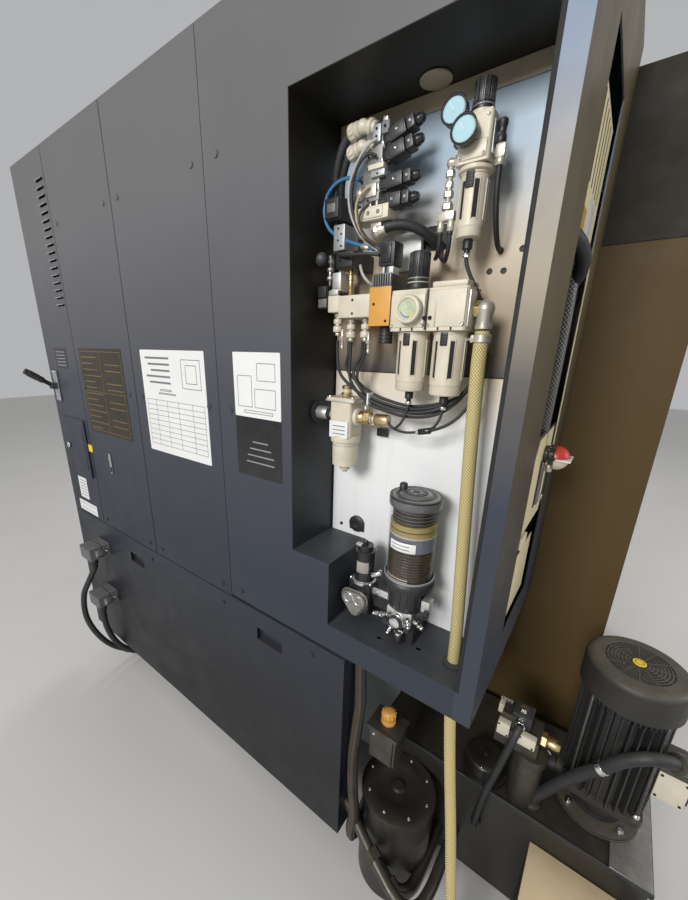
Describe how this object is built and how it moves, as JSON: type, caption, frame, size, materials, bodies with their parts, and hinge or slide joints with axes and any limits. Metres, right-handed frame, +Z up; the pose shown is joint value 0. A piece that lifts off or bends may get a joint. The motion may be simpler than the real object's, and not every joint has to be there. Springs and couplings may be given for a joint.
{
  "type": "cnc machining center",
  "caption": "Compact vertical machining center with its rear electrical cabinet, open air-service recess, grease lubricator and coolant tank with pumps.",
  "frame": {"origin": "on the floor, at the centre of the four anchored levelling feet", "axes": "+Z up, +Y towards the rear service side, -Y towards the operator's doors, +X to the operator's right"},
  "size_m": [2.3146, 2.4538, 2.2],
  "materials": {
    "enclosure_paint": "satin dark blue-grey powder coat",
    "door_paint": "satin light grey powder coat",
    "casting_paint": "semi-gloss grey machine enamel over cast iron",
    "ground_steel": "ground and lightly oiled",
    "table_iron": "machined, lightly oiled",
    "servo_black": "satin black",
    "plate_paint": "pale blue above, white below",
    "cast_aluminium": "die-cast, slightly dull",
    "black_plastic": "matt moulded",
    "grey_plastic": "matt moulded",
    "cream_plastic": "matt moulded",
    "orange_plastic": "semi-gloss moulded",
    "red_plastic": "semi-gloss moulded",
    "amber_grease": "clear wall filled with dark amber grease",
    "brass": "dull",
    "yellow_hose": "braided, dusty yellow",
    "black_rubber": "matt",
    "tank_paint": "satin tan, stained",
    "pump_black": "painted black, dusty",
    "gauge_face": "pale dial under a clear lens"
  },
  "bodies": {
    "machine": {"base_casting": "casting_paint", "leveling_feet": "ground_steel", "column": "casting_paint", "fixed_guide_rails": "ground_steel", "axis_servos": "servo_black", "left_side_panel": "enclosure_paint", "right_side_panel": "enclosure_paint", "roof_panel": "enclosure_paint", "front_fascia": "enclosure_paint", "enclosure_back_panel": "enclosure_paint", "chip_pan": "ground_steel", "magazine_bracket": "casting_paint", "cabinet_shell": "enclosure_paint", "strip_panel": "enclosure_paint", "cabinet_cover_a": "enclosure_paint", "cabinet_cover_b": "enclosure_paint", "lower_rear_panel": "enclosure_paint", "service_box": "enclosure_paint", "recess_plates": "plate_paint", "regulator_bodies": "cast_aluminium", "filter_bowls": "cast_aluminium", "pressure_gauges": "gauge_face", "air_fittings": "brass", "solenoid_valves": "black_plastic", "valve_manifold": "cream_plastic", "pressure_switches": "orange_plastic", "air_filter": "cast_aluminium", "grease_reservoir": "amber_grease", "lubricator_base": "black_plastic", "air_tubes": "black_rubber", "supply_hose": "yellow_hose", "hose_coupling": "brass", "connector_hoods": "cast_aluminium", "connector_cables": "black_rubber", "coolant_tank": "tank_paint", "wash_pump_motor": "pump_black", "fan_cover": "pump_black", "transfer_pumps": "pump_black", "coolant_manifold": "cast_aluminium"},
    "saddle": {"saddle": "casting_paint", "x_servo": "servo_black"},
    "table": {"work_table": "table_iron"},
    "head": {"spindle_head": "door_paint", "spindle_motor": "servo_black"},
    "spindle": {"spindle": "ground_steel"},
    "x_screw": {"x_ball_screw": "ground_steel"},
    "y_screw": {"y_ball_screw": "ground_steel"},
    "z_screw": {"z_ball_screw": "ground_steel"},
    "magazine": {"magazine_carriage": "casting_paint"},
    "tool_disc": {"tool_disc": "ground_steel"},
    "left_door": {"left_front_door": "door_paint"},
    "right_door": {"right_front_door": "door_paint"},
    "pendant": {"control_pendant": "door_paint"},
    "emergency_stop": {"emergency_stop": "red_plastic"},
    "disconnect_lever": {"disconnect_lever": "black_plastic"},
    "access_flap": {"access_flap": "enclosure_paint"},
    "lockout_knob": {"lockout_knob": "red_plastic"},
    "upper_knob": {"regulator_knob_upper": "black_plastic"},
    "lower_knob": {"regulator_knob_lower": "black_plastic"},
    "fan": {"cooling_fan": "grey_plastic"}
  },
  "joints": [
    {"name": "saddle_slide", "type": "slide", "parent": "machine", "child": "saddle", "axis": [0, 1, 0], "range_m": [-0.2, 0.2]},
    {"name": "table_slide", "type": "slide", "parent": "saddle", "child": "table", "axis": [1, 0, 0], "range_m": [-0.38, 0.38]},
    {"name": "head_slide", "type": "slide", "parent": "machine", "child": "head", "axis": [0, 0, 1], "range_m": [-0.46, 0]},
    {"name": "spindle_spin", "type": "hinge", "parent": "head", "child": "spindle", "pos_m": [0, -0.4, 1.36], "axis": [0, 0, 1], "continuous": true},
    {"name": "x_screw_spin", "type": "hinge", "parent": "saddle", "child": "x_screw", "pos_m": [0, -0.4, 0.65], "axis": [1, 0, 0], "continuous": true},
    {"name": "y_screw_spin", "type": "hinge", "parent": "machine", "child": "y_screw", "pos_m": [0, -0.4, 0.48], "axis": [0, 1, 0], "continuous": true},
    {"name": "z_screw_spin", "type": "hinge", "parent": "machine", "child": "z_screw", "pos_m": [0, 0.1, 1], "axis": [0, 0, 1], "continuous": true},
    {"name": "magazine_slide", "type": "slide", "parent": "machine", "child": "magazine", "axis": [1, 0, 0], "range_m": [0, 0.38]},
    {"name": "tool_disc_index", "type": "hinge", "parent": "magazine", "child": "tool_disc", "pos_m": [-0.64, -0.4, 1.32], "axis": [0, 0, 1], "continuous": true},
    {"name": "left_door_slide", "type": "slide", "parent": "machine", "child": "left_door", "axis": [1, 0, 0], "range_m": [-0.5, 0]},
    {"name": "right_door_slide", "type": "slide", "parent": "machine", "child": "right_door", "axis": [1, 0, 0], "range_m": [0, 0.5]},
    {"name": "pendant_swivel", "type": "hinge", "parent": "machine", "child": "pendant", "pos_m": [0.955, -1.05, 1.9], "axis": [0, 0, 1], "range_deg": [0, 90]},
    {"name": "emergency_stop_press", "type": "slide", "parent": "pendant", "child": "emergency_stop", "axis": [0, 1, 0], "range_m": [0, 0.004]},
    {"name": "disconnect_lever_swing", "type": "hinge", "parent": "machine", "child": "disconnect_lever", "pos_m": [0.99, 1.068, 1.4], "axis": [1, 0, 0], "range_deg": [-70, 0]},
    {"name": "access_flap_hinge", "type": "hinge", "parent": "machine", "child": "access_flap", "pos_m": [0.79, 1.0553, 1.145], "axis": [0, 0, 1], "range_deg": [0, 100]},
    {"name": "lockout_turn", "type": "hinge", "parent": "machine", "child": "lockout_knob", "pos_m": [-0.87, 0.72, 1.34], "axis": [1, 0, 0], "range_deg": [0, 90]},
    {"name": "upper_knob_turn", "type": "hinge", "parent": "machine", "child": "upper_knob", "pos_m": [-0.686, 0.955, 1.94], "axis": [0, 0, 1], "range_deg": [-720, 720]},
    {"name": "lower_knob_turn", "type": "hinge", "parent": "machine", "child": "lower_knob", "pos_m": [-0.6, 0.955, 1.7], "axis": [0, 0, 1], "range_deg": [-720, 720]},
    {"name": "fan_spin", "type": "hinge", "parent": "machine", "child": "fan", "pos_m": [-1.11, 0.668, 0.8], "axis": [0, 0, 1], "continuous": true}
  ],
  "couplings": [
    {"joint": "x_screw_spin", "follows": "table_slide", "rad_per_m": 392.7},
    {"joint": "y_screw_spin", "follows": "saddle_slide", "rad_per_m": 392.7},
    {"joint": "z_screw_spin", "follows": "head_slide", "rad_per_m": 392.7}
  ]
}
